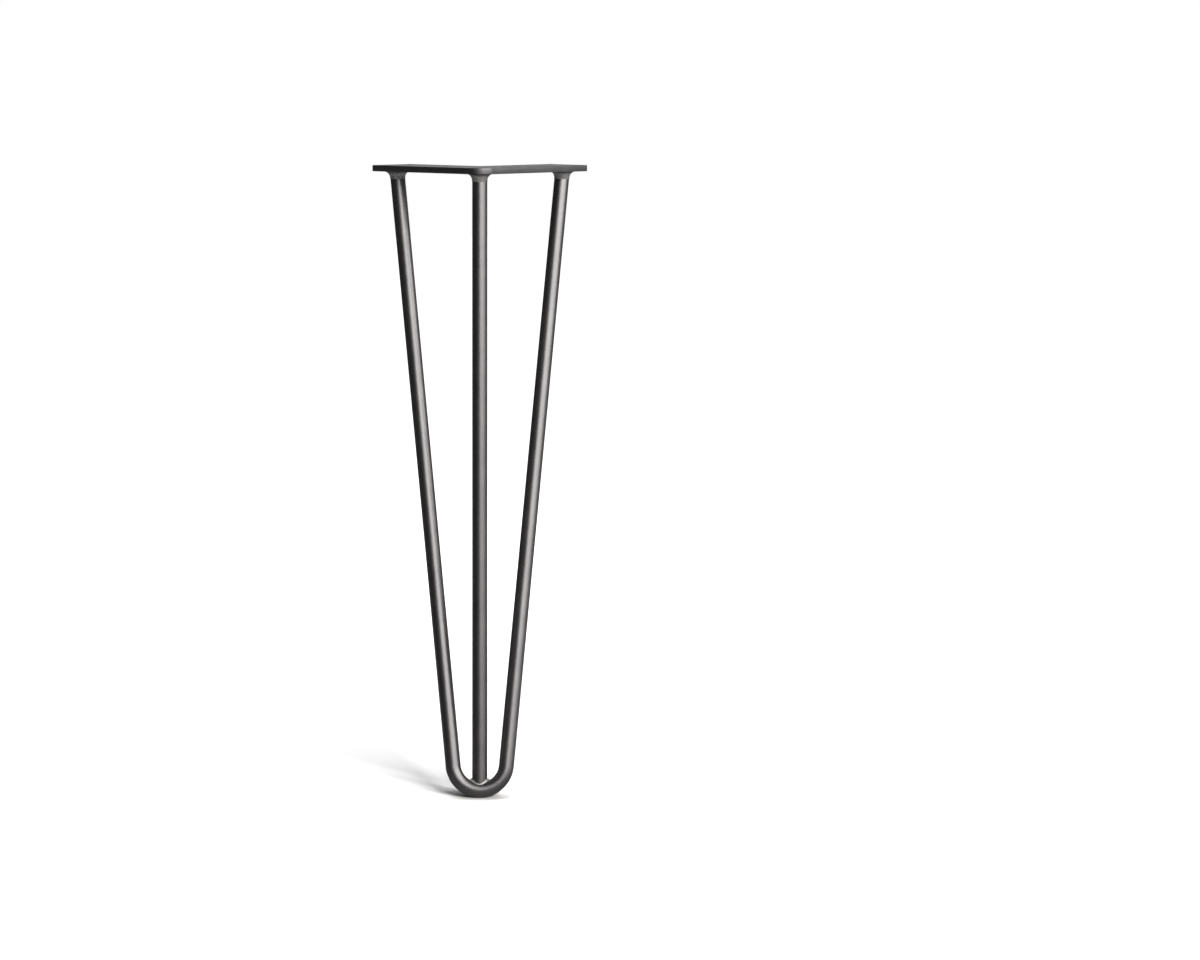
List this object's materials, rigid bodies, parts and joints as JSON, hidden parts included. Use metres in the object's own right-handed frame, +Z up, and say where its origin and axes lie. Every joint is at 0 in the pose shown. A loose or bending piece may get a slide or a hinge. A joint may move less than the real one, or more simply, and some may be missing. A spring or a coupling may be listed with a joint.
{
  "type": "hairpin table leg",
  "caption": "Hairpin furniture leg: an angle plate with screw holes, a U-bent steel rod and a centre rod, welded together with a satin lacquered steel finish.",
  "frame": {"origin": "on the plate's top face, at the middle of the square where its two arms meet", "axes": "+Z up out of the plate's top face into the table; -Y towards the plate's outer corner and the foot; X across, with the leg symmetric about the YZ plane"},
  "size_m": [0.1742, 0.1696, 0.495],
  "materials": {
    "plate_steel": "satin clear lacquer over dark steel",
    "rod_steel": "satin clear lacquer over drawn dark steel",
    "weld_metal": "matte, slightly rough under lacquer"
  },
  "bodies": {
    "root": {"mounting_plate": "plate_steel", "hairpin_rod": "rod_steel", "centre_rod": "rod_steel", "weld_beads": "weld_metal"}
  },
  "joints": []
}
